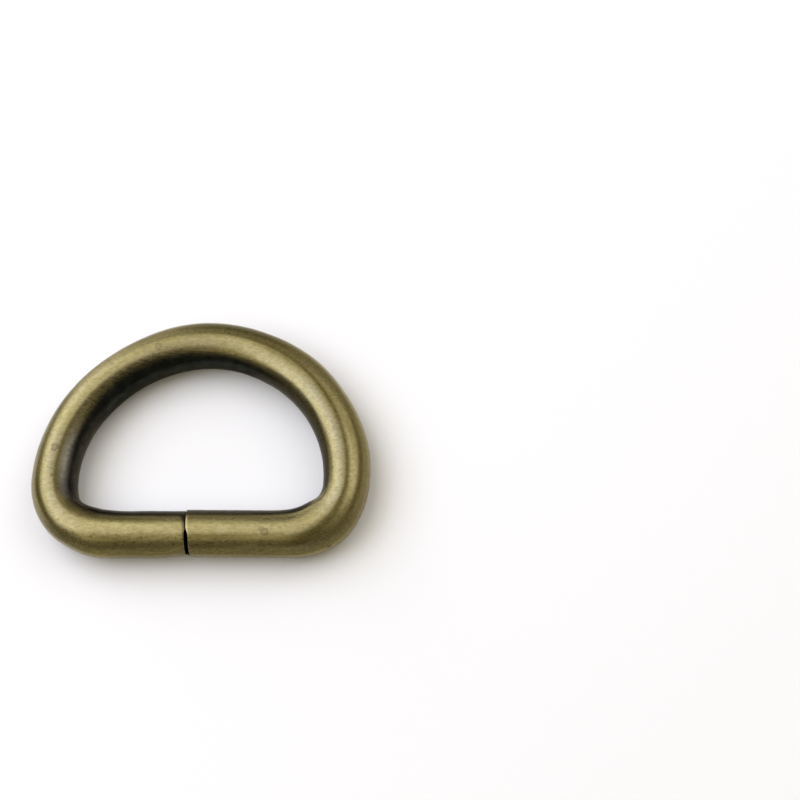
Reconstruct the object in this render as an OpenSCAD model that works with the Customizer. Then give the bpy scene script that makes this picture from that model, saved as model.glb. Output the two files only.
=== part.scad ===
// D ring bent from one length of round wire, with the wire's two ends butted in the bar.
// The ring lies flat on z = 0, with the origin under the middle of its outer box. The
// straight bar runs along X on the -Y side, and the arch rises from it towards +Y.

/* [Opening] */
// Clear width inside the ring, which is the width of the webbing that it takes
inner_w = 25.4; // [20:0.1:50]
// Inside radius of the two bends that join the bar to the half-round arch
bend_r = 3; // [1.5:0.1:5]

/* [Wire] */
// Diameter of the round wire
wire_d = 4.76; // [3:0.01:7]

/* [Seam] */
// Distance from the middle of the bar to the seam, towards -X
seam_offset = 0.8; // [0:0.05:3]
// Gap between the wire's two ends on the inside of the ring
gap_inside = 0.14; // [0.05:0.01:0.5]
// Gap between the wire's two ends on the outside of the ring
gap_outside = 0.3; // [0.05:0.01:0.5]
// Lean of the sheared ends in degrees, which takes the top of the seam towards +X
seam_lean = 6; // [-10:0.5:10]
// Skew of the sheared ends in degrees, which takes the inside of the seam towards -X
seam_skew = 5.5; // [-10:0.5:10]
// How far the left end stands outside the right end
end_step = 0.1; // [0:0.01:0.3]
// Length of the bevel that the shears left round each end
bevel_l = 0.7; // [0.5:0.05:1.2]
// Depth of the bevel that the shears left round each end
bevel_depth = 0.14; // [0.05:0.01:0.3]

/* [Hidden] */
$fn = 96;

wire_r = wire_d / 2;
// Radii of the arch and of a bend on the wire's axis, and the crown's height over the bar's
arch_r = inner_w / 2 + wire_r;
bend_axis_r = bend_r + wire_r;
crown_h = bend_axis_r + arch_r;
// The shears spread the two ends apart towards the outside of the ring
gap_middle = (gap_inside + gap_outside) / 2;
gap_spread = atan((gap_outside - gap_inside) / 2 / wire_d);

// A side's bar lies its step below y = 0, in a bend that is so much wider
function side_bend_r(step) = bend_axis_r + step;
function side_bar(step) = arch_r - side_bend_r(step);

// Arc of wire about the origin, from one angle through a turn
module wire_arc(radius, from, turn) {
    rotate([0, 0, from])
        rotate_extrude(angle = turn)
            translate([radius, 0])
                circle(r = wire_r);
}

// Straight wire from the origin along +X, whose bevel runs on past its nominal length
module bar_wire(length) {
    overrun = wire_r * (abs(tan(seam_lean)) + abs(tan(seam_skew))) + gap_outside;
    slope = bevel_depth / bevel_l;
    cone_l = bevel_l + overrun;
    rotate([0, 90, 0]) {
        cylinder(h = length - bevel_l, r = wire_r);
        translate([0, 0, length - bevel_l])
            cylinder(h = cone_l, r1 = wire_r, r2 = wire_r - slope * cone_l);
    }
}

// The space past the end of a wire that comes from -X and is sheared at the seam
module past_sheared_end() {
    reach = 3 * wire_d;
    translate([-gap_middle / 2, 0, 0])
        rotate([0, 0, -gap_spread])
            translate([0, -reach, -reach])
                cube(2 * reach);
}

// The half of the bar that comes from -X
module left_bar() {
    difference() {
        translate([-side_bar(end_step), -end_step, 0])
            bar_wire(side_bar(end_step) - seam_offset);
        translate([-seam_offset, 0, 0])
            rotate([0, seam_lean, seam_skew])
                past_sheared_end();
    }
}

// The half of the bar that comes from +X
module right_bar() {
    difference() {
        translate([side_bar(0), 0, 0])
            mirror([1, 0, 0])
                bar_wire(side_bar(0) + seam_offset);
        translate([-seam_offset, 0, 0])
            rotate([0, seam_lean, seam_skew])
                mirror([1, 0, 0])
                    past_sheared_end();
    }
}

// The quarter-turn bend on the +X side
module side_bend(step) {
    translate([side_bar(step), bend_axis_r, 0])
        wire_arc(side_bend_r(step), -90, 90);
}

// The half-round arch
module arch() {
    translate([0, bend_axis_r, 0])
        wire_arc(arch_r, 0, 180);
}

// The whole ring in one piece of wire
module wire_ring() {
    color([0.55, 0.49, 0.31])
        translate([0, (end_step - crown_h) / 2, wire_r]) {
            left_bar();
            right_bar();
            side_bend(0);
            mirror([1, 0, 0])
                side_bend(end_step);
            arch();
        }
}

wire_ring();
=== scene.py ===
"""Antique-brass D ring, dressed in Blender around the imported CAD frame.

The ring is one swept wire mesh that takes its sizes from the CAD box, so it stays in the
same frame: metres, bar along X on the -Y side, arch towards +Y, lying on z = 0. Lengths in
this script are in millimetres unless their name or comment says otherwise.
"""
import math

import bpy
import numpy as np
from mathutils import Matrix, Vector


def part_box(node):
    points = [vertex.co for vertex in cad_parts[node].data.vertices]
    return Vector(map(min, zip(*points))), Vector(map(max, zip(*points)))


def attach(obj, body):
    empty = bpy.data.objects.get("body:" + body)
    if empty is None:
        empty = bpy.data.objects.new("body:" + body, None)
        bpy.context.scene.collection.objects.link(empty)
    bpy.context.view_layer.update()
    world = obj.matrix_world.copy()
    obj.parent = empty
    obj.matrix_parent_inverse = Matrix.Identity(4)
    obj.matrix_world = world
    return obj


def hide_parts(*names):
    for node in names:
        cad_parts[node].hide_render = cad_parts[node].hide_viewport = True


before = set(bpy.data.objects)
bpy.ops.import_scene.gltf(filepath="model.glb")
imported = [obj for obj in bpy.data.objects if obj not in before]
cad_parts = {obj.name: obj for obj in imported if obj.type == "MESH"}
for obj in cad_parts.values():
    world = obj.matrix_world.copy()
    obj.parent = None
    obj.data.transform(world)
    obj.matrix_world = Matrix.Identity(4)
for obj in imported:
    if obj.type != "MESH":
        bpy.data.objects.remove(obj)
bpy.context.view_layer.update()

MM = 0.001

# Camera, fitted to the ring's outlines in the photo. Angles in degrees
IMAGE_SIDE_PX = 800
FOCAL_PX = 2590.7
SENSOR_WIDTH = 36.0
CAMERA_AZIMUTH = 30.56
CAMERA_ELEVATION = 66.1
CAMERA_ROLL = -28.11
CAMERA_DISTANCE = 265.0
# A point on the middle plane of the ring, and where the photo shows it
AIM_POINT = (0.0, -1.18, 2.38)
AIM_PIXEL_X = 202.5
AIM_PIXEL_Y = 450.0

# Wire mesh: sides of a section, and the step between sections
SIDES = 96
SECTION_STEP = 0.12
# Sections close to each sheared end, as distances from it
END_SECTIONS = (0, 0.01, 0.025, 0.045, 0.07, 0.1, 0.135, 0.175, 0.22, 0.27, 0.32, 0.38,
                0.44, 0.51, 0.59, 0.68, 0.78, 0.89, 1.0, 1.12)
# Rows of points across each sheared face, as distances from its rim
FACE_ROWS = (0.015, 0.035, 0.06, 0.09, 0.13, 0.18, 0.25, 0.35, 0.5, 0.75, 1.1, 1.6)

# The two sheared ends, as part.scad has them. Angles in degrees
SEAM_X = -0.8
SEAM_LEAN = 6.0
SEAM_SKEW = 5.5
LEFT_END_STEP = 0.1
# Gap between the rims of the two ends on the inside of the ring, and how much wider it is on
# the outside. Below the rims it is everywhere as narrow as on the inside
GAP_INSIDE = 0.045
GAP_WIDENING = 0.33
# The shears pinched both ends on their outer, lower side: the angle round the wire at which they
# pressed, and for each end the depth of the pinch and its length along the wire
PINCH_ANGLE = 200
LEFT_PINCH = (0.27, 3.2)
RIGHT_PINCH = (0.08, 0.8)
# Torn grain that the shears left on the sheared faces, as a height
TORN_GRAIN = 0.008
# Length of bar over which the sections turn from square to the sheared face
SKEWED_LENGTH = 4.0
# How far the seam bows towards +X, from the inside of the ring, at -1, to its outside, at 1
SEAM_BOW = [
    (-1, 0.0), (-0.7, -0.02), (-0.3, -0.05), (0.05, -0.07), (0.2, -0.07), (0.35, -0.04),
    (0.6, -0.04), (0.8, -0.08), (0.9, -0.05), (1, 0.0),
]

# Length along the wire from the bar's middle, and how far the hand-bent wire stands proud of
# its nominal section there, on the outside and on the inside of the ring
OUTER_RELIEF = [
    (-1, 0.0), (9, -0.03), (10.5, 0.03), (12.5, 0.14), (14, 0.12), (16.5, -0.15), (18.3, -0.06),
    (21.5, 0.13), (24.5, 0.04), (27.5, -0.04), (30.5, 0.04), (36.5, -0.05), (42.5, 0.11),
    (45.5, 0.06), (48.5, -0.12), (51.5, -0.17), (54.5, -0.09), (58, 0.0), (63.5, 0.04),
    (66.5, -0.01), (69.5, -0.09), (70.5, -0.08), (71.8, -0.2), (73.3, 0.06), (74.5, 0.12),
    (76, 0.08), (79, 0.05), (81, 0.02), (84, 0.0),
]
INNER_RELIEF = [
    (-1, 0.0), (7.5, 0.01), (8.3, 0.0), (9, 0.06), (10.2, 0.25), (11.2, 0.3), (12.4, 0.37),
    (13.7, 0.31), (15, 0.0), (16, -0.04), (18, -0.01), (21, -0.02), (25, 0.02), (30, 0.05),
    (35, 0.07), (39, -0.04), (43, -0.07), (47, 0.0), (54, 0.02), (57.5, -0.06), (60.5, -0.1),
    (63.5, -0.06), (66.5, 0.05), (69.3, -0.18), (70.5, 0.02), (71.5, 0.12), (73, 0.24),
    (75, 0.01), (76.5, -0.1), (79, -0.04), (81, -0.05), (84, -0.04),
]

# How far the black patina reaches up from the inside of the ring, as angles round the wire
# from straight inward: length along the wire, where it begins to thin out, where it is gone,
# half the widths over which those two borders fade, and how strong it is between them
PATINA_REACH = [
    (-1, 46, 64, 8, 7, 0.5), (5, 47, 63, 8, 6, 0.5), (8, 50, 57, 7, 3.5, 0.5),
    (10.3, 47, 52, 4, 4, 0.5), (11.8, 45, 50, 5, 4, 0.5), (13.2, 39, 45, 5, 4, 0.5),
    (14.6, 28, 36, 6, 5, 0.5), (15.4, 29, 38, 5, 5, 0.5), (16.5, 46, 50, 3, 2.5, 0.5),
    (18.5, 43, 48, 5, 2.5, 0.5), (24, 35, 51, 8, 2.5, 0.5), (27, 33, 57, 8, 3, 0.5),
    (30, 32, 58.5, 8, 3, 0.5), (34, 37, 54, 7, 4, 0.5), (38, 42, 55, 6, 7, 0.5),
    (41, 45, 60, 7, 8, 0.5), (44, 50, 66, 10, 9, 0.5), (48, 54, 70, 10, 8, 0.5),
    (52, 58, 73, 11, 8, 0.5), (55, 55, 77, 10, 6, 0.5), (58, 49, 78, 8, 6, 0.5),
    (60, 45, 79, 5, 6, 0.45), (62, 41, 79, 5, 5, 0.42), (64, 37, 79, 5, 5, 0.34),
    (66, 40, 78, 5, 5, 0.5), (67.5, 42, 76, 5, 5, 0.68), (69, 35, 66, 5, 5, 0.5),
    (71, 30, 58, 5, 6, 0.4), (73, 46, 65, 5, 5, 0.5), (75, 54, 67, 7, 5, 0.5),
    (78, 54, 66, 7, 5, 0.5), (84, 53, 63, 5, 5, 0.5),
]

# Soft bands along the wire. A row gives where a band starts and where it ends, each as length
# along the wire and angle round it, then its half-width as an angle and its strength
# Brown tarnish, partly real and partly painted shade: on the outer flank it paints the darker
# reflection of the shaded floor, and on the brushed top it darkens lines in the reflections
TARNISH_AND_SHADE_BANDS = [
    # Outer flank, from the right-hand half of the bar round to the left-hand half
    (-6, 154, 4, 155, 17, 1.15), (4, 159, 9, 159, 16, 1.05), (9, 160, 16, 155, 13, 0.9),
    (16, 150, 24, 144, 13, 0.6), (15, 132, 24, 131, 4, 0.35), (24, 143, 34, 136, 10, 0.95),
    (34, 133, 44, 129, 13, 1.3), (44, 126, 50, 124, 11, 0.65), (52, 137, 59, 136, 8, 0.45),
    (57, 128, 69, 124, 8, 0.85), (61, 125, 70, 125, 4, 0.4), (69.5, 143, 72.8, 150, 15, 1.35),
    (72.8, 153, 75.5, 157, 15, 0.85), (75.5, 157, 90, 158, 18, 1.0),
    # Outer side of the brushed top
    (-6, 115, 5, 116, 5, 0.45), (9, 138, 12.5, 124, 7, 0.65), (9.5, 121, 16.5, 101, 7, 0.75),
    (20.5, 122, 24.5, 119, 7, 0.5), (23, 112, 28, 106, 8, 0.3), (16, 98, 34, 99, 8, 0.28),
    (26, 101, 37, 107, 7, 0.25), (16, 98, 44, 105, 3, 0.4), (31, 94, 36, 94, 4, 0.2),
    (34, 97, 41, 99, 7, 0.3), (41, 99, 49, 98, 8, 0.55), (49, 96, 66, 89, 8, 0.32),
    (63, 113, 70, 113, 7, 0.25), (72, 118, 78, 126, 9, 0.3), (75, 119, 81, 122, 7, 0.2),
    (81, 119, 90, 118, 5, 0.15),
    # Inner side of the brushed top
    (-6, 79, 8, 79, 6, 0.45), (8, 76, 15, 73, 8, 0.4), (17, 85, 36, 88, 7, 0.25),
    (37, 57, 46, 62, 8, 0.35), (39, 78, 48, 80, 9, 0.33), (50, 58, 57, 60, 8, 0.3),
    (54, 64, 66, 70, 7, 0.25), (59, 67, 66, 68, 7, 0.35), (54, 76, 72, 77, 3, 0.35),
    (65, 58, 71, 62, 13, 0.95), (73, 70, 80, 75, 9, 0.75), (80, 77, 90, 77, 8, 0.4),
]
# Pits, and scratches where these bands lie on the patina's edge
SPECK_BANDS = [
    (-6, 131, 4, 132, 12, 0.8), (4, 133, 13, 134, 12, 0.6), (70, 124, 90, 126, 15, 1.0),
    (37, 58, 60, 66, 13, 0.9),
]
# Greyer metal
HAZE_BANDS = [
    (14, 83, 30, 82, 9, 0.15), (27, 72, 50, 74, 16, 0.07), (60, 90, 70, 92, 9, 0.12),
    (60, 55, 69, 52, 15, 0.4), (56, 28, 72, 30, 20, 0.35), (57, 143, 72, 146, 12, 0.2),
    (-6, 150, 12, 150, 10, 0.15), (11, 152, 18, 158, 12, 0.15), (73, 149, 90, 149, 10, 0.14),
]
# Where the patina is thick and matt
SOOT_BANDS = [
    (-6, 32, 12, 34, 12, 0.15), (9.5, 36, 13, 32, 14, 0.6), (35, 22, 57, 25, 32, 1.0),
    (66, 38, 70.5, 34, 10, 0.5), (79, 32, 90, 30, 10, 0.4),
]
# Where dirt lies on it
GRIME_BANDS = [(42, 26, 54, 22, 8, 0.22)]
# Length over which a band fades in or out, and over which the steps of a table are rounded off
BAND_FADE = 4.0
TABLE_BLUR = 1.2

# Small water marks and specks: length along the wire, angle round it, radius, strength. A water
# mark is a ring with soft sides of this width, and the outlines of both waver by so much
RING_LINE = 0.12
MARK_WAVER = 0.25
RING_MARKS = [
    (7.15, 96, 0.26, 0.5), (7.45, 104, 0.32, 0.7), (47.0, 88, 0.34, 0.6), (62.5, 92, 0.31, 0.8),
]
SPECKS = [
    (12.6, 172, 0.34, 1.0), (65.5, 85, 0.12, 0.6), (77.9, 162, 0.22, 0.5), (52.0, 122, 0.2, 0.5),
]


def smooth(t):
    """0 to 1 with a soft start and end"""
    t = np.clip(t, 0.0, 1.0)
    return t * t * (3 - 2 * t)


# The wire's sizes, from the CAD node's box
low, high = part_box("wire_ring")
WIRE_R = (high.z - low.z) / MM / 2
ARCH_R = (high.x - low.x) / MM / 2 - WIRE_R
BEND_R = (high.y - low.y) / MM - 2 * WIRE_R - LEFT_END_STEP - ARCH_R
ARCH_Y = high.y / MM - WIRE_R - ARCH_R


class WirePath:
    """The wire's axis from the right-hand end round to the left-hand end, seen from above"""

    def __init__(self):
        quarter = math.pi / 2
        left_r = BEND_R + LEFT_END_STEP
        self.right_x = ARCH_R - BEND_R
        self.left_x = -(ARCH_R - left_r)
        self.radii = (BEND_R, ARCH_R, left_r)
        self.centres = ((self.right_x, ARCH_Y), (0.0, ARCH_Y), (self.left_x, ARCH_Y))
        self.starts = (-quarter, 0.0, 2 * quarter)
        lengths = [
            self.right_x - SEAM_X,
            quarter * BEND_R,
            2 * quarter * ARCH_R,
            quarter * left_r,
            SEAM_X - self.left_x,
        ]
        self.edges = np.cumsum([0.0] + lengths)
        self.total = float(self.edges[-1])

    def at(self, distance):
        """Place on the axis and the direction towards the inside of the ring"""
        part = int(np.clip(np.searchsorted(self.edges, distance) - 1, 0, 4))
        if part == 0:
            return (SEAM_X + distance, ARCH_Y - self.radii[0]), (0.0, 1.0)
        if part == 4:
            return (self.left_x + distance - self.edges[4], ARCH_Y - self.radii[2]), (0.0, 1.0)
        radius, centre = self.radii[part - 1], self.centres[part - 1]
        angle = self.starts[part - 1] + (distance - self.edges[part]) / radius
        outward = (math.cos(angle), math.sin(angle))
        place = (centre[0] + radius * outward[0], centre[1] + radius * outward[1])
        return place, (-outward[0], -outward[1])

    def sections(self):
        """Lengths at which the wire gets a section, closer together near the ends"""
        ends = np.array(END_SECTIONS)
        first = ends[-1] + SECTION_STEP
        count = int(round((self.total - 2 * first) / SECTION_STEP)) + 1
        middle = np.linspace(first, self.total - first, count)
        return np.concatenate([ends, middle, (self.total - ends)[::-1]])


path = WirePath()


def along_wire(table, s):
    """Columns of a table whose first column is the length along the wire, rounded off"""
    table = np.array(table, float)
    offsets = np.linspace(-TABLE_BLUR, TABLE_BLUR, 9)
    weights = np.cos(offsets / TABLE_BLUR * math.pi / 2)
    weights /= weights.sum()
    columns = [
        sum(w * np.interp(s + o, table[:, 0], column) for o, w in zip(offsets, weights))
        for column in table[:, 1:].T
    ]
    return columns[0] if len(columns) == 1 else columns


def bands(table, s, angle):
    """Strength of the table's bands at each length along the wire and angle round it"""
    total = np.zeros(np.broadcast(s, angle).shape)
    for s_start, angle_start, s_end, angle_end, half_width, strength in table:
        middle = np.interp(s, (s_start, s_end), (angle_start, angle_end))
        along = smooth((s - s_start) / BAND_FADE + 0.5) * smooth((s_end - s) / BAND_FADE + 0.5)
        across = smooth(1.5 - np.abs(angle - middle) / half_width)
        total = total + strength * along * across
    return total


def rounding(distance, length, depth):
    """How far a rounded rim drops at this distance from the end"""
    q = np.clip(1 - distance / length, 0, 1)
    return depth * (1 - np.sqrt(1 - q * q))


def rim_gap(v):
    """Gap between the two rims, from the inside of the ring, v = -1, to its outside, v = 1"""
    return GAP_INSIDE + GAP_WIDENING * smooth((v - 0.02) / 0.36)


def face_offset(y_in, z_up, side, depth_in):
    """How far a sheared face lies from the seam along X, at this distance below its rim

    y_in and z_up are measured from the wire's axis, inward and up. side is 1 for the
    right-hand end and -1 for the left-hand end.
    """
    lean = math.tan(math.radians(SEAM_LEAN)) * z_up - math.tan(math.radians(SEAM_SKEW)) * y_in
    v = -y_in / WIRE_R
    bow = np.interp(v, *zip(*SEAM_BOW))
    # The rounded lips that widen the gap are shallower towards the outside of the ring
    lip_depth = 0.45 - 0.38 * smooth((v - 0.4) / 0.45)
    gap = GAP_INSIDE + (rim_gap(v) - GAP_INSIDE) * (1 - smooth(depth_in / lip_depth))
    return lean + bow + side * gap / 2


def wire_radius(distances, turn):
    """Distance of the surface from the axis, for each section and each angle round it"""
    s = (distances + SEAM_X)[:, None]
    turn = turn[None, :]
    inward = np.cos(turn)
    angle = np.degrees(np.arccos(np.clip(inward, -1, 1)))
    radius = WIRE_R + along_wire(OUTER_RELIEF, s) * np.clip(-inward, 0, 1) ** 2
    radius = radius + along_wire(INNER_RELIEF, s) * np.clip(inward, 0, 1) ** 2
    from_right = distances[:, None]
    from_left = (path.total - distances)[:, None]
    pinched_side = np.clip(np.cos(turn - math.radians(PINCH_ANGLE)), 0, 1) ** 3
    depth, length = LEFT_PINCH
    radius = radius - depth * pinched_side * np.clip(1 - from_left / length, 0, 1) ** 1.2
    depth, length = RIGHT_PINCH
    radius = radius - depth * pinched_side * np.clip(1 - from_right / length, 0, 1)
    # Both rims are rounded off, more so on their upper side
    upper = smooth((angle - 15) / 25) * smooth((115 - angle) / 40)
    radius = radius - rounding(from_left, 0.2 + 0.25 * upper, 0.05 + 0.09 * upper)
    radius = radius - rounding(from_right, 0.2 + 0.1 * upper, 0.04 + 0.06 * upper)
    return radius


def surface_masks(distances, turn):
    """Per point: patina with the painted shade by the seam, tarnish with painted shade, specks,
    haze, soot, grime, and bright wear with a painted highlight
    """
    s = (distances + SEAM_X)[:, None]
    angle = np.degrees(np.arccos(np.clip(np.cos(turn), -1, 1)))[None, :]
    thin, gone, fade_thin, fade_gone, level = along_wire(PATINA_REACH, s)
    full = np.clip(0.5 + (thin - angle) / (2 * fade_thin), 0, 1)
    some = np.clip(0.5 + (gone - angle) / (2 * fade_gone), 0, 1)
    # Outside its borders the mask goes on, so that the brush strokes move the patina's edge
    beyond = np.clip((gone + fade_gone - angle) / 28, -0.6, 0)
    below = np.clip((thin - fade_thin - angle) / 40, 0, 0.6)
    patina_and_shade = (1 - level) * full + level * some + beyond + below
    # Painted shade: the left-hand end's rounded rim beside the seam gets extra patina, partly
    # real and partly standing for the shade and dark reflection that fall there
    from_left = (path.total - distances)[:, None]
    reach = 0.3 + 0.5 * smooth((85 - angle) / 30)
    shade = 0.85 * smooth(1.1 * (1 - from_left / reach)) * smooth((104 - angle) / 12)
    patina_and_shade = np.maximum(patina_and_shade, patina_and_shade * (1 - shade) + shade)
    tarnish_and_shade = bands(TARNISH_AND_SHADE_BANDS, s, angle)
    specks = bands(SPECK_BANDS, s, angle)
    haze = bands(HAZE_BANDS, s, angle)
    soot = bands(SOOT_BANDS, s, angle)
    grime = bands(GRIME_BANDS, s, angle)
    # The right-hand end's rim is rubbed bright, and the brightening also paints a highlight on it
    from_right = distances[:, None]
    wear_and_highlight = 0.3 * smooth((0.25 - from_right) / 0.2)
    wear_and_highlight = wear_and_highlight * smooth((angle - 30) / 15) * smooth((125 - angle) / 30)
    return patina_and_shade, tarnish_and_shade, specks, haze, soot, grime, wear_and_highlight


def tube(distances, turn, radius):
    """Points of the wire's skin"""
    axis = [path.at(d) for d in distances]
    place = np.array([a[0] for a in axis])
    inward = np.array([a[1] for a in axis])
    y_in = radius * np.cos(turn)[None, :]
    z_up = radius * np.sin(turn)[None, :]
    x = place[:, 0][:, None] + inward[:, 0][:, None] * y_in
    y = place[:, 1][:, None] + inward[:, 1][:, None] * y_in
    from_right = distances[:, None]
    from_left = (path.total - distances)[:, None]
    x = x + face_offset(y_in, z_up, 1, 0) * (1 - smooth(from_right / SKEWED_LENGTH))
    x = x + face_offset(y_in, z_up, -1, 0) * (1 - smooth(from_left / SKEWED_LENGTH))
    return np.stack([x, y, WIRE_R + z_up], -1)


def sheared_face(rim_y, rim_z, bar_y, side):
    """Points across a sheared face, row by row from its rim inward, and then its middle point"""
    # Share of the way from the middle to the rim
    share = 1 - np.array([*FACE_ROWS, WIRE_R])[:, None] / WIRE_R
    y_in = share * rim_y[None, :]
    z_up = share * rim_z[None, :]
    rim = np.hypot(rim_y, rim_z)[None, :]
    x = SEAM_X + face_offset(y_in, z_up, side, (1 - share) * rim)
    # The torn grain fades out towards the rim
    waves = np.sin(9 * y_in + 1) * np.cos(7 * z_up + 2 * y_in)
    x = x + side * TORN_GRAIN * waves * (1 - share ** 4)
    points = np.stack([x, bar_y + y_in, WIRE_R + z_up], -1)
    return points[:-1], points[-1, 0]


class MeshParts:
    """Gathers faces with their UV corners"""

    def __init__(self):
        self.loops, self.uvs, self.sizes = [], [], []

    def add(self, corners, uv, flip=False):
        """Faces as rows of point numbers, each with its UV corners"""
        if flip:
            corners, uv = corners[:, ::-1], uv[:, ::-1]
        self.loops.append(corners.ravel())
        self.uvs.append(uv.reshape(-1, 2))
        self.sizes.append(np.full(len(corners), corners.shape[1]))


def add_tube_faces(parts, distances):
    """Quads between neighbouring sections. The UV map lays the wire out in three strips"""
    # The margins and the strips' height are shares of the map's side
    strips, margin, height = 3, 0.01, 0.3
    rows = len(distances) - 1
    section, side = np.meshgrid(np.arange(rows), np.arange(SIDES), indexing="ij")
    section, side = section.ravel(), side.ravel()
    after = (side + 1) % SIDES
    a, b = section * SIDES + side, section * SIDES + after
    corners = np.stack([a, b, b + SIDES, a + SIDES], 1)
    strip = np.minimum(distances[:-1] / distances[-1] * strips, strips - 1e-6).astype(int)
    start = np.array([distances[:-1][strip == k].min() for k in range(strips)])
    end = np.array([distances[1:][strip == k].max() for k in range(strips)])
    k = strip[section]
    u0 = margin + (1 - 2 * margin) * (distances[section] - start[k]) / (end[k] - start[k])
    u1 = margin + (1 - 2 * margin) * (distances[section + 1] - start[k]) / (end[k] - start[k])
    v0 = margin + (height + margin) * k + height * side / SIDES
    v1 = v0 + height / SIDES
    uv = np.stack([np.stack(c, 1) for c in ((u0, v0), (u0, v1), (u1, v1), (u1, v0))], 1)
    parts.add(corners, uv)


def add_end_faces(parts, rim_start, face_start, middle, side, uv_middle):
    """Faces of a sheared end, from its rim row inward to the middle point"""
    uv_radius = 0.022
    here = np.arange(SIDES)
    after = (here + 1) % SIDES
    rows = len(FACE_ROWS) + 1
    starts = [rim_start] + [face_start + row * SIDES for row in range(rows - 1)]
    share = np.linspace(1, 0, rows + 1) * uv_radius
    for row in range(rows):
        outer = starts[row]
        if row + 1 < rows:
            inner = starts[row + 1]
            corners = np.stack([outer + here, outer + after, inner + after, inner + here], 1)
            steps = np.stack([here, here + 1, here + 1, here], 1)
            reach = np.array([share[row], share[row], share[row + 1], share[row + 1]])
        else:
            corners = np.stack([outer + here, outer + after, np.full(SIDES, middle)], 1)
            steps = np.stack([here, here + 1, here + 0.5], 1)
            reach = np.array([share[row], share[row], 0.0])
        round_angle = steps * 2 * math.pi / SIDES
        uv = uv_middle + np.stack([reach * np.cos(round_angle), reach * np.sin(round_angle)], -1)
        parts.add(corners, uv, flip=side > 0)


def build_ring():
    """The ring's skin with its two sheared faces, in one closed mesh"""
    distances = path.sections()
    turn = np.arange(SIDES) * 2 * math.pi / SIDES
    radius = wire_radius(distances, turn)
    skin = tube(distances, turn, radius)
    masks = [m.ravel() for m in np.broadcast_arrays(*surface_masks(distances, turn))]
    points = [skin.reshape(-1, 3)]
    parts = MeshParts()
    add_tube_faces(parts, distances)
    start = skin.shape[0] * SIDES
    for number, (section, side) in enumerate(((0, 1), (len(distances) - 1, -1))):
        (_, bar_y), _ = path.at(distances[section])
        rim_y = radius[section] * np.cos(turn)
        rim_z = radius[section] * np.sin(turn)
        rows, middle_point = sheared_face(rim_y, rim_z, bar_y, side)
        points += [rows.reshape(-1, 3), middle_point[None, :]]
        added = rows.shape[0] * SIDES + 1
        # A sheared face is black with patina, soot and grime all over
        on_face = (1.6, 0.0, 0.0, 0.0, 1.0, 1.0, 0.0)
        masks = [np.concatenate([m, np.full(added, v)]) for m, v in zip(masks, on_face)]
        middle = start + added - 1
        uv_middle = np.array([0.03 + 0.06 * number, 0.97])
        add_end_faces(parts, section * SIDES, start, middle, side, uv_middle)
        start += added
    names = ("patina_and_shade", "tarnish_and_shade", "specks", "haze", "soot", "grime", "wear_and_highlight")
    named = dict(zip(names, masks))
    return make_object("ring_wire", np.concatenate(points), parts, named)


def make_object(name, points, parts, masks):
    """Object from points in millimetres, its faces, and a named value per point for each mask"""
    loops, sizes = np.concatenate(parts.loops), np.concatenate(parts.sizes)
    mesh = bpy.data.meshes.new(name)
    mesh.vertices.add(len(points))
    mesh.vertices.foreach_set("co", (points * MM).astype(np.float32).ravel())
    mesh.loops.add(len(loops))
    mesh.loops.foreach_set("vertex_index", loops.astype(np.int32))
    mesh.polygons.add(len(sizes))
    mesh.polygons.foreach_set("loop_start", (np.cumsum(sizes) - sizes).astype(np.int32))
    mesh.polygons.foreach_set("use_smooth", np.ones(len(sizes), bool))
    mesh.update(calc_edges=True)
    layer = mesh.uv_layers.new(name="OFBake")
    layer.uv.foreach_set("vector", np.concatenate(parts.uvs).astype(np.float32).ravel())
    for key, values in masks.items():
        attribute = mesh.attributes.new(key, "FLOAT", "POINT")
        attribute.data.foreach_set("value", values.astype(np.float32))
    mesh.validate()
    made = bpy.data.objects.new(name, mesh)
    bpy.context.scene.collection.objects.link(made)
    return made


# Node helpers

def math_node(tree, operation, a, b=0.0):
    """Result of the operation on two values, each a number or another node's output"""
    made = tree.nodes.new("ShaderNodeMath")
    made.operation = operation
    for slot, value in enumerate((a, b)):
        if isinstance(value, (int, float)):
            made.inputs[slot].default_value = value
        else:
            tree.links.new(value, made.inputs[slot])
    return made.outputs[0]


def range_node(tree, value, from_low, from_high, to_low=0.0, to_high=1.0):
    """The value carried from one range to another, with a soft start and end"""
    made = tree.nodes.new("ShaderNodeMapRange")
    made.interpolation_type = "SMOOTHSTEP"
    tree.links.new(value, made.inputs["Value"])
    names = ("From Min", "From Max", "To Min", "To Max")
    for key, number in zip(names, (from_low, from_high, to_low, to_high)):
        made.inputs[key].default_value = number
    return made.outputs["Result"]


def mix_node(tree, factor, a, b):
    """Colour that goes from the first to the second as the factor goes from 0 to 1"""
    made = tree.nodes.new("ShaderNodeMix")
    made.data_type = "RGBA"
    tree.links.new(factor, made.inputs["Factor"])
    for socket, value in ((made.inputs[6], a), (made.inputs[7], b)):
        if isinstance(value, tuple):
            socket.default_value = (*value, 1.0)
        else:
            tree.links.new(value, socket)
    return made.outputs[2]


def noise_node(tree, place, size, detail, seed):
    """Noise with features of these sizes along X, Y and Z, centred on 0.5"""
    mapping = tree.nodes.new("ShaderNodeMapping")
    mapping.inputs["Scale"].default_value = [1 / (length * MM) for length in size]
    mapping.inputs["Location"].default_value = (seed, 2 * seed, 3 * seed)
    tree.links.new(place, mapping.inputs["Vector"])
    made = tree.nodes.new("ShaderNodeTexNoise")
    made.inputs["Scale"].default_value = 1.0
    made.inputs["Detail"].default_value = detail
    tree.links.new(mapping.outputs[0], made.inputs["Vector"])
    return made.outputs["Fac"]


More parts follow.
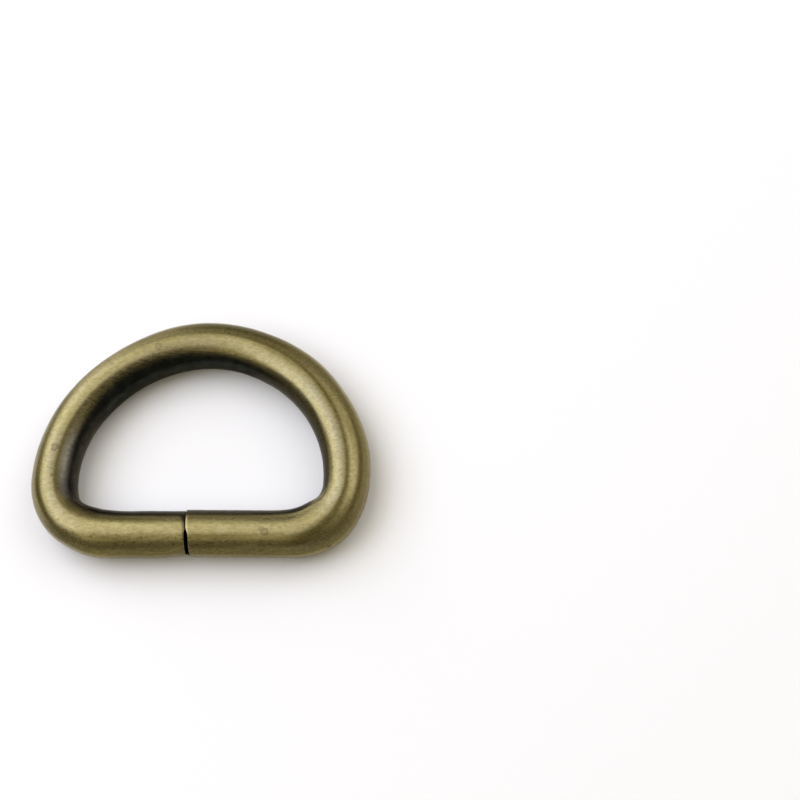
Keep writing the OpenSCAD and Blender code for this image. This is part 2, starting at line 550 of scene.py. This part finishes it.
def shaken(tree, value, noise, amount):
    """The value with the noise added, up to this amount either way"""
    centred = math_node(tree, "SUBTRACT", noise, 0.5)
    return math_node(tree, "ADD", value, math_node(tree, "MULTIPLY", centred, 2 * amount))


def mask_value(tree, name):
    """One of the values that surface_masks gives each point of the mesh"""
    made = tree.nodes.new("ShaderNodeAttribute")
    made.attribute_name = name
    return made.outputs["Fac"]


def greyed(tree, colour, amount, brightness):
    """The colour with this share of it turned into a duller grey"""
    grey = tree.nodes.new("ShaderNodeRGBToBW")
    tree.links.new(colour, grey.inputs[0])
    dull = math_node(tree, "MULTIPLY", grey.outputs[0], brightness)
    return mix_node(tree, amount, colour, dull)


def skin_point(s, degrees):
    """Point of the wire's skin in metres, at this length along the wire and angle round it"""
    (x, y), (in_x, in_y) = path.at(s - SEAM_X)
    inward = WIRE_R * math.cos(math.radians(degrees))
    height = WIRE_R + WIRE_R * math.sin(math.radians(degrees))
    return Vector((x + in_x * inward, y + in_y * inward, height)) * MM


def distance_node(tree, place, point):
    """Distance from a fixed point, in metres"""
    made = tree.nodes.new("ShaderNodeVectorMath")
    made.operation = "DISTANCE"
    tree.links.new(place, made.inputs[0])
    made.inputs[1].default_value = point
    return made.outputs["Value"]


def mark_masks(tree, place, mottles):
    """Faint stains: rings that dried drops left, and plain specks"""
    total = None
    for marks, filling in ((RING_MARKS, 0.4), (SPECKS, 1.0)):
        for s, degrees, radius_mm, strength in marks:
            radius = radius_mm * MM
            away = distance_node(tree, place, skin_point(s, degrees))
            away = shaken(tree, away, mottles, MARK_WAVER * MM)
            spot = range_node(tree, away, radius * 0.6, radius * 1.1, strength * filling, 0.0)
            if marks is RING_MARKS:
                off_line = math_node(tree, "SUBTRACT", away, radius)
                off_line = math_node(tree, "ABSOLUTE", off_line)
                line = range_node(tree, off_line, 0.02 * MM, RING_LINE * MM, strength, 0.0)
                spot = math_node(tree, "MAXIMUM", spot, line)
            total = spot if total is None else math_node(tree, "MAXIMUM", total, spot)
    return total


# Colours of the metal, as the shares of red, green and blue light that it reflects
BRASS = (0.285, 0.232, 0.086)
BRASS_PALE = (0.290, 0.234, 0.098)
BRASS_DULL = (0.228, 0.181, 0.064)
# Bright metal of the right-hand end's rim, partly a painted highlight
BRASS_BRIGHT = (0.44, 0.37, 0.18)
# Browns of the tarnish bands, which are partly painted shade
BROWN_DARK = (0.085, 0.066, 0.015)
BROWN_LIGHT = (0.165, 0.131, 0.034)
BROWN_DEEP = (0.055, 0.044, 0.013)
PIT = (0.052, 0.042, 0.016)
STAIN = (0.100, 0.072, 0.036)
PATINA_BROWN = (0.125, 0.098, 0.037)
PATINA_BLACKS = ((0.022, 0.019, 0.010), (0.038, 0.033, 0.019))
SOOT_BLACKS = ((0.016, 0.018, 0.013), (0.030, 0.032, 0.024))
GRIME = (0.006, 0.006, 0.005)
# The same towards grazing views, where clean metal goes nearly white and the patina doesn't
METAL_EDGE = (0.96, 0.95, 0.92)
PATINA_EDGE = (0.90, 0.86, 0.78)
SOOT_EDGE = (0.57, 0.55, 0.52)
GRIME_EDGE = (0.05, 0.05, 0.04)


def patina_strength(tree, place, strokes, mottles):
    """The patina mask with the painted shade by the seam, its borders broken up by brush strokes
    and scratches
    """
    long_strokes = noise_node(tree, place, (2.4, 0.24, 0.24), 3.0, 1)
    scratches = noise_node(tree, place, (1.8, 0.13, 0.13), 3.0, 10)
    patina_and_shade = shaken(tree, mask_value(tree, "patina_and_shade"), long_strokes, 0.2)
    patina_and_shade = shaken(tree, patina_and_shade, strokes, 0.1)
    scored = math_node(tree, "MULTIPLY", math_node(tree, "SUBTRACT", scratches, 0.5), 1.2)
    scored = math_node(tree, "MULTIPLY", scored, mask_value(tree, "specks"))
    patina_and_shade = math_node(tree, "ADD", patina_and_shade, scored)
    return shaken(tree, patina_and_shade, mottles, 0.12)


def brushed_colour(tree, place, strokes, mottles, tarnish_and_shade):
    """Brushed brass with its tarnish and painted shade, pits, stains, and bright wear with a
    painted highlight
    """
    clouds = noise_node(tree, place, (5.0, 4.0, 4.0), 1.0, 6)
    dashes = noise_node(tree, place, (0.35, 0.12, 0.12), 2.0, 4)
    flaws = noise_node(tree, place, (0.4, 0.25, 0.25), 2.0, 9)
    brass = mix_node(tree, range_node(tree, clouds, 0.38, 0.62), BRASS, BRASS_PALE)
    rubbed = shaken(tree, math_node(tree, "MULTIPLY", strokes, 0.6), mottles, 0.3)
    brushed = mix_node(tree, range_node(tree, rubbed, 0.15, 0.42), BRASS_DULL, brass)
    brown = mix_node(tree, range_node(tree, dashes, 0.35, 0.65), BROWN_DARK, BROWN_LIGHT)
    # Brown tarnish, which also paints shade where the reflections are darker
    colour = mix_node(tree, tarnish_and_shade, brushed, brown)
    colour = mix_node(tree, range_node(tree, tarnish_and_shade, 1.1, 1.6), colour, BROWN_DEEP)
    # A few pits lie everywhere, and more of them in the speck bands
    share = math_node(tree, "MULTIPLY", mask_value(tree, "specks"), 0.55)
    share = math_node(tree, "ADD", share, 0.15)
    pits = math_node(tree, "MULTIPLY", range_node(tree, flaws, 0.53, 0.72), share)
    colour = mix_node(tree, pits, colour, PIT)
    colour = mix_node(tree, mark_masks(tree, place, mottles), colour, STAIN)
    # The right-hand end's rubbed rim, brightened partly as a painted highlight
    return mix_node(tree, mask_value(tree, "wear_and_highlight"), colour, BRASS_BRIGHT)


def patinated_colour(tree, place, brushed, patina_and_shade, black):
    """The brushed metal under its brown and black patina and the painted shade by the seam, its
    grey haze and its grime
    """
    blotches = noise_node(tree, place, (1.3, 1.0, 1.0), 2.0, 5)
    fleck = range_node(tree, blotches, 0.35, 0.7)
    brown_black = mix_node(tree, fleck, *PATINA_BLACKS)
    deep_black = mix_node(tree, fleck, *SOOT_BLACKS)
    blacks = mix_node(tree, mask_value(tree, "soot"), brown_black, deep_black)
    colour = mix_node(tree, range_node(tree, patina_and_shade, 0.0, 0.65), brushed, PATINA_BROWN)
    colour = mix_node(tree, black, colour, blacks)
    colour = greyed(tree, colour, mask_value(tree, "haze"), 0.9)
    return mix_node(tree, mask_value(tree, "grime"), colour, GRIME)


def edge_colour(tree, black):
    """Reflection towards grazing views"""
    sooty = mix_node(tree, mask_value(tree, "soot"), PATINA_EDGE, SOOT_EDGE)
    tint = mix_node(tree, black, METAL_EDGE, sooty)
    return mix_node(tree, mask_value(tree, "grime"), tint, GRIME_EDGE)


def roughness(tree, grain, black, tarnish_and_shade):
    """Satin, and a little rougher where the metal is patinated and under the bands of tarnish and
    painted shade
    """
    rough = range_node(tree, grain, 0.3, 0.7, 0.25, 0.34)
    rough = math_node(tree, "ADD", rough, math_node(tree, "MULTIPLY", black, 0.06))
    return math_node(tree, "ADD", rough, math_node(tree, "MULTIPLY", tarnish_and_shade, 0.05))


def bump_node(tree, height, depth, below=None):
    """Surface normal for this height pattern, its depth in millimetres, over another normal"""
    made = tree.nodes.new("ShaderNodeBump")
    made.inputs["Strength"].default_value = 1.0
    made.inputs["Distance"].default_value = depth * MM
    tree.links.new(height, made.inputs["Height"])
    if below is not None:
        tree.links.new(below, made.inputs["Normal"])
    return made.outputs["Normal"]


def antique_brass():
    """Brushed antique brass over a black patina, with strokes along the ring's X direction"""
    material = bpy.data.materials.new("antique_brass_brushed")
    material.use_nodes = True
    tree = material.node_tree
    shader = tree.nodes["Principled BSDF"]
    shader.inputs["Metallic"].default_value = 1.0
    place = tree.nodes.new("ShaderNodeTexCoord").outputs["Object"]

    strokes = noise_node(tree, place, (0.9, 0.11, 0.11), 3.0, 2)
    mottles = noise_node(tree, place, (0.45, 0.35, 0.35), 3.0, 8)
    grain = noise_node(tree, place, (0.4, 0.09, 0.09), 2.0, 3)
    dents = noise_node(tree, place, (1.2, 0.5, 0.5), 2.0, 7)
    tarnish_and_shade = mask_value(tree, "tarnish_and_shade")
    patina_and_shade = patina_strength(tree, place, strokes, mottles)
    black = range_node(tree, patina_and_shade, 0.3, 1.0)

    brushed = brushed_colour(tree, place, strokes, mottles, tarnish_and_shade)
    colour = patinated_colour(tree, place, brushed, patina_and_shade, black)
    tree.links.new(colour, shader.inputs["Base Color"])
    tree.links.new(edge_colour(tree, black), shader.inputs["Specular Tint"])
    tree.links.new(roughness(tree, grain, black, tarnish_and_shade), shader.inputs["Roughness"])
    normal = bump_node(tree, grain, 0.003, bump_node(tree, dents, 0.007))
    tree.links.new(normal, shader.inputs["Normal"])
    return material


# Floor, with its side in metres
FLOOR_SIDE = 6.0
FLOOR_COLOUR = (0.92, 0.87, 0.73)
# The softboxes don't reach the far floor, so it glows to be as pale as it is near the ring.
# The glow sets in between these distances from the ring, in metres
GLOW_START = 0.15
GLOW_END = 0.9
GLOW_STRENGTH = 0.75
GLOW_COLOUR = (1.0, 0.99, 0.98)


def add_floor():
    """Plain pale floor"""
    material = bpy.data.materials.new("pale_floor")
    material.use_nodes = True
    tree = material.node_tree
    shader = tree.nodes["Principled BSDF"]
    shader.inputs["Base Color"].default_value = (*FLOOR_COLOUR, 1)
    shader.inputs["Roughness"].default_value = 0.9
    shader.inputs["Specular IOR Level"].default_value = 0.1
    place = tree.nodes.new("ShaderNodeTexCoord").outputs["Object"]
    away = distance_node(tree, place, (0, 0, 0))
    glow = range_node(tree, away, GLOW_START, GLOW_END, 0.0, GLOW_STRENGTH)
    tree.links.new(glow, shader.inputs["Emission Strength"])
    shader.inputs["Emission Color"].default_value = (*GLOW_COLOUR, 1)
    half = FLOOR_SIDE / 2
    mesh = bpy.data.meshes.new("studio_floor")
    corners = [(-half, -half, 0), (half, -half, 0), (half, half, 0), (-half, half, 0)]
    mesh.from_pydata(corners, [], [(0, 1, 2, 3)])
    mesh.materials.append(material)
    floor = bpy.data.objects.new("studio_floor", mesh)
    bpy.context.scene.collection.objects.link(floor)


# Light. The lamps' distance is in metres
LAMP_DISTANCE = 0.6
COOL_TINT = (0.91, 1.0, 1.40)
SOFTBOX_TINT = (0.94, 1.0, 1.28)
WARM_TINT = (1.0, 0.98, 0.95)
ROOM_TINT = (1.0, 0.95, 0.82)
ROOM_LIGHT = 0.27
# Softboxes: name, tint, range of tilt from straight up towards +X and towards +Y in degrees,
# radiance, share of each side over which the light fades out
SOFTBOXES = [
    ("main_softbox", COOL_TINT, (-62, -24), (-22, 49), 2.6, 0.15),
    ("inner_softbox", SOFTBOX_TINT, (-24, -1), (-16, 43), 1.8, 0.15),
    ("low_softbox", WARM_TINT, (-42, -4), (-48, -20), 0.8, 0.3),
    ("far_softbox", SOFTBOX_TINT, (-80, -40), (42, 95), 1.4, 0.3),
    ("side_softbox", SOFTBOX_TINT, (19, 58), (2, 48), 1.4, 0.25),
    ("side_glow", WARM_TINT, (10, 62), (-26, 72), 0.25, 0.3),
]


def direction_of(tilt_x, tilt_y):
    """Direction that is tilted from straight up by these degrees towards +X and +Y"""
    zenith = math.radians(math.hypot(tilt_x, tilt_y))
    heading = math.atan2(tilt_y, tilt_x)
    level = math.sin(zenith)
    return Vector((level * math.cos(heading), level * math.sin(heading), math.cos(zenith)))


def nearer_end(tree, share):
    """Distance to the nearer end of a side, as a share of its length"""
    return math_node(tree, "MINIMUM", share, math_node(tree, "SUBTRACT", 1.0, share))


def add_softbox(name, tint, across_x, across_y, radiance, edge):
    """Rectangular lamp with soft edges that faces the ring. SOFTBOXES gives the columns"""
    width, height = (
        2 * LAMP_DISTANCE * math.tan(math.radians((far - near) / 2)) / (1 - edge)
        for near, far in (across_x, across_y)
    )
    data = bpy.data.lights.new(name, "AREA")
    data.shape = "RECTANGLE"
    data.size = width
    data.size_y = height
    data.energy = radiance * math.pi * width * height
    data.color = tint
    data.use_nodes = True
    tree = data.node_tree
    shares = tree.nodes.new("ShaderNodeSeparateXYZ")
    lamp_place = tree.nodes.new("ShaderNodeNewGeometry").outputs["Parametric"]
    tree.links.new(lamp_place, shares.inputs[0])
    nearest = [nearer_end(tree, shares.outputs[axis]) for axis in (0, 1)]
    inside = math_node(tree, "MINIMUM", *nearest)
    tree.links.new(range_node(tree, inside, 0.0, edge), tree.nodes["Emission"].inputs["Strength"])
    direction = direction_of(sum(across_x) / 2, sum(across_y) / 2)
    across = Vector((0, 1, 0)).cross(direction).normalized()
    along = direction.cross(across)
    turn = Matrix((across, along, direction)).transposed().to_4x4()
    lamp = bpy.data.objects.new(name, data)
    lamp.matrix_world = Matrix.Translation(direction * LAMP_DISTANCE) @ turn
    bpy.context.scene.collection.objects.link(lamp)


def add_light():
    """The softboxes and an even light from all round"""
    for softbox in SOFTBOXES:
        add_softbox(*softbox)
    world = bpy.data.worlds.new("studio")
    world.use_nodes = True
    background = world.node_tree.nodes["Background"]
    background.inputs["Color"].default_value = (*ROOM_TINT, 1)
    background.inputs["Strength"].default_value = ROOM_LIGHT
    bpy.context.scene.world = world


def add_camera():
    """Camera that shows AIM_POINT at its pixel, from the photo's angle to the ring"""
    azimuth = math.radians(CAMERA_AZIMUTH)
    elevation = math.radians(CAMERA_ELEVATION)
    roll = math.radians(CAMERA_ROLL)
    back = Vector((
        math.sin(azimuth) * math.cos(elevation),
        -math.cos(azimuth) * math.cos(elevation),
        math.sin(elevation),
    ))
    level_right = Vector((0, 0, 1)).cross(back).normalized()
    level_up = back.cross(level_right)
    right = math.cos(roll) * level_right + math.sin(roll) * level_up
    up = -math.sin(roll) * level_right + math.cos(roll) * level_up
    middle = IMAGE_SIDE_PX / 2
    aim = Vector(((AIM_PIXEL_X - middle) / FOCAL_PX, (middle - AIM_PIXEL_Y) / FOCAL_PX, -1))
    swing = Vector((0, 0, -1)).rotation_difference(aim).to_matrix()
    turn = (swing @ Matrix((right, up, back))).transposed().to_4x4()
    data = bpy.data.cameras.new("photo_camera")
    data.sensor_width = SENSOR_WIDTH
    data.lens = FOCAL_PX * SENSOR_WIDTH / IMAGE_SIDE_PX
    data.clip_start = 0.01
    data.clip_end = 20.0
    camera = bpy.data.objects.new("photo_camera", data)
    place = (Vector(AIM_POINT) + back * CAMERA_DISTANCE) * MM
    camera.matrix_world = Matrix.Translation(place) @ turn
    bpy.context.scene.collection.objects.link(camera)
    bpy.context.scene.camera = camera


add_camera()
ring = build_ring()
ring.data.materials.append(antique_brass())
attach(ring, "root")
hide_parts("wire_ring")
add_floor()
add_light()
bpy.context.scene.view_settings.view_transform = "Standard"
